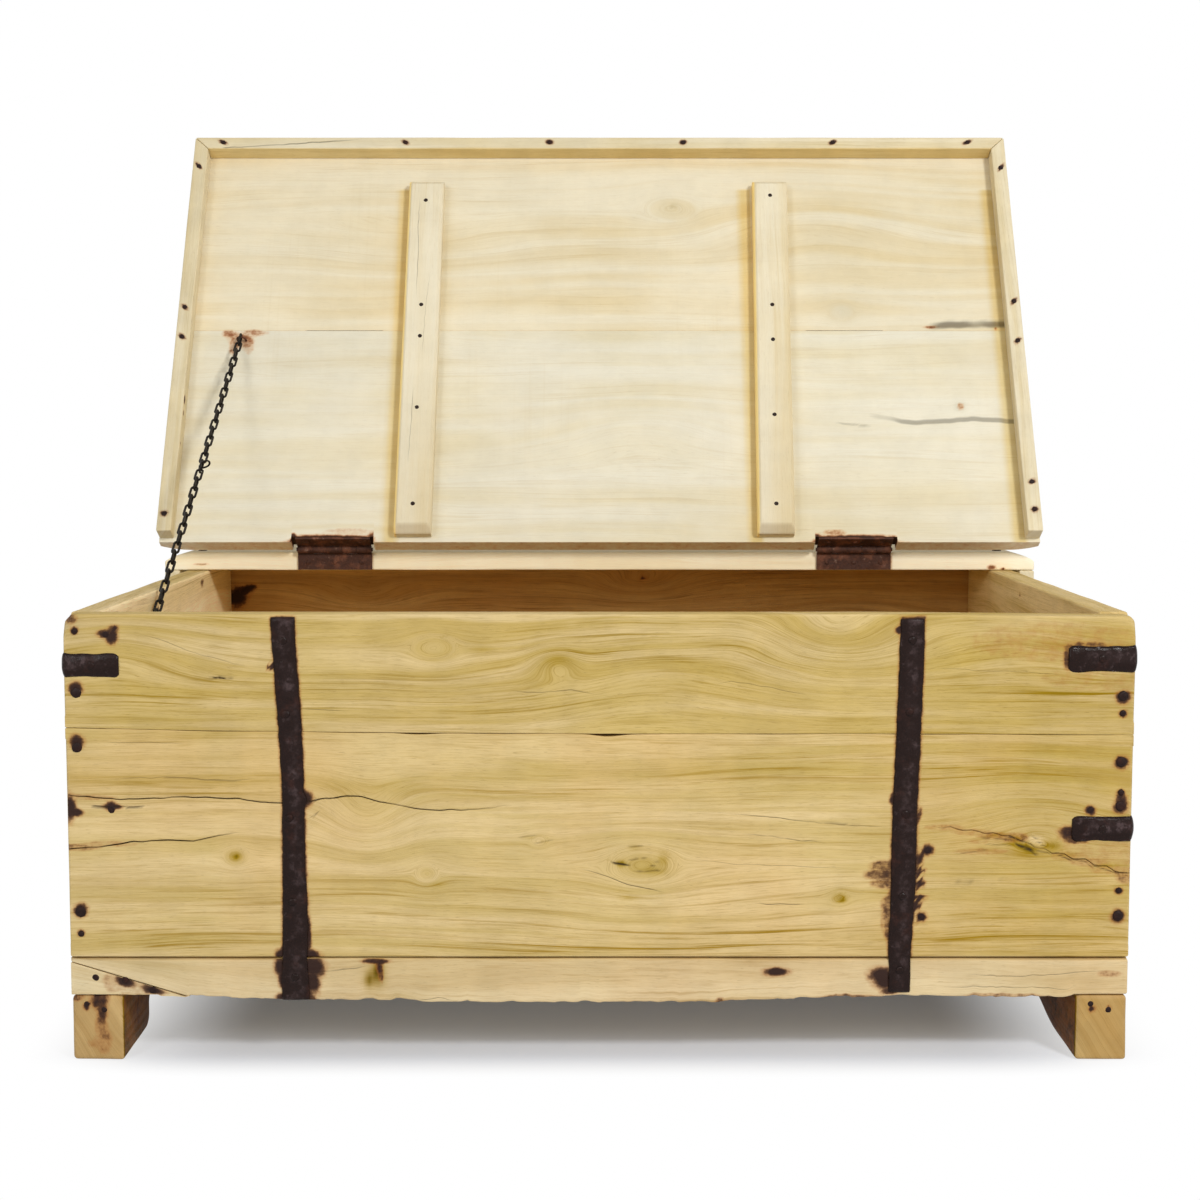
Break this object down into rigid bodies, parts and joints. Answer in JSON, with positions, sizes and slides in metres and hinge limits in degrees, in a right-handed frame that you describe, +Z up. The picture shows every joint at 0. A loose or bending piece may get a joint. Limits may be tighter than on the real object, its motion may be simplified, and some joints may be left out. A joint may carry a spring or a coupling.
{
  "type": "blanket chest",
  "caption": "Low plank blanket chest on arched runners, with iron straps and a hinged rimmed lid that stands open on a chain stay in front of a fixed rear rail.",
  "frame": {"origin": "On the floor, under the middle of the bounding box of the chest with its lid standing open.", "axes": "+X to the right seen from the front, +Y to the back, +Z up."},
  "size_m": [1.156, 0.9056, 1.0703],
  "materials": {
    "wall_wood": "aged oiled hardwood",
    "base_wood": "aged oiled hardwood",
    "lid_wood": "pale sanded hardwood",
    "batten_wood": "pale sanded hardwood",
    "strap_iron": "hand-hammered, dark oxide",
    "hinge_iron": "rusted",
    "nail_iron": "rusted",
    "screw_iron": "dark oxide",
    "chain_iron": "dark oxide"
  },
  "bodies": {
    "chest": {"back_lower_board": "wall_wood", "back_top_board": "wall_wood", "chain_anchor_nail": "chain_iron", "corner_strap_left": "strap_iron", "corner_strap_right_lower": "strap_iron", "corner_strap_right_upper": "strap_iron", "floor_nails": "nail_iron", "floor_patch": "base_wood", "floor_plank_front": "base_wood", "floor_plank_middle": "base_wood", "floor_plank_rear": "base_wood", "front_lower_board": "wall_wood", "front_top_board": "wall_wood", "left_hinge_pin": "hinge_iron", "left_hinge_rail_leaf": "hinge_iron", "left_runner": "base_wood", "left_side_lower_board": "wall_wood", "left_side_top_board": "wall_wood", "patch_nails": "nail_iron", "rail_leaf_screws": "screw_iron", "rail_nails": "nail_iron", "rail_rim_nails": "nail_iron", "rear_rail": "lid_wood", "rear_rail_left_rim": "lid_wood", "rear_rail_right_rim": "lid_wood", "right_hinge_pin": "hinge_iron", "right_hinge_rail_leaf": "hinge_iron", "right_runner": "base_wood", "right_side_lower_board": "wall_wood", "right_side_top_board": "wall_wood", "runner_nails": "nail_iron", "strap_front_left": "strap_iron", "strap_front_right": "strap_iron", "strap_nails": "strap_iron", "wall_nails": "nail_iron"},
    "lid": {"lid_front_board": "lid_wood", "lid_rear_board": "lid_wood", "lid_front_rim": "lid_wood", "lid_left_rim": "lid_wood", "lid_right_rim": "lid_wood", "left_batten": "batten_wood", "right_batten": "batten_wood", "batten_screws": "screw_iron", "rim_nails": "nail_iron", "lid_leaf_screws": "screw_iron", "lid_staple": "hinge_iron", "left_hinge_lid_leaf": "hinge_iron", "right_hinge_lid_leaf": "hinge_iron"},
    "chain_upper": {"chain_upper_links": "chain_iron", "chain_hook": "chain_iron"},
    "chain_lower": {"chain_lower_links": "chain_iron"}
  },
  "joints": [
    {"name": "lid_hinge", "type": "hinge", "parent": "chest", "child": "lid", "pos_m": [0, 0.15195, 0.496], "axis": [1, 0, 0], "range_deg": [0, 119]},
    {"name": "chain_upper_swing", "type": "hinge", "parent": "lid", "child": "chain_upper", "pos_m": [-0.4915, 0.2661, 0.78031], "axis": [-0.9992, 0.0189, 0.034], "range_deg": [0, 65.35]},
    {"name": "chain_lower_swing", "type": "hinge", "parent": "chest", "child": "chain_lower", "pos_m": [-0.512, -0.20081, 0.437], "axis": [-0.999, 0.0439, 0], "range_deg": [0, 126.31]}
  ],
  "couplings": [
    {"joint": "chain_upper_swing", "follows": "lid_hinge", "ratio": 0.5491},
    {"joint": "chain_lower_swing", "follows": "lid_hinge", "ratio": 1.0613}
  ]
}
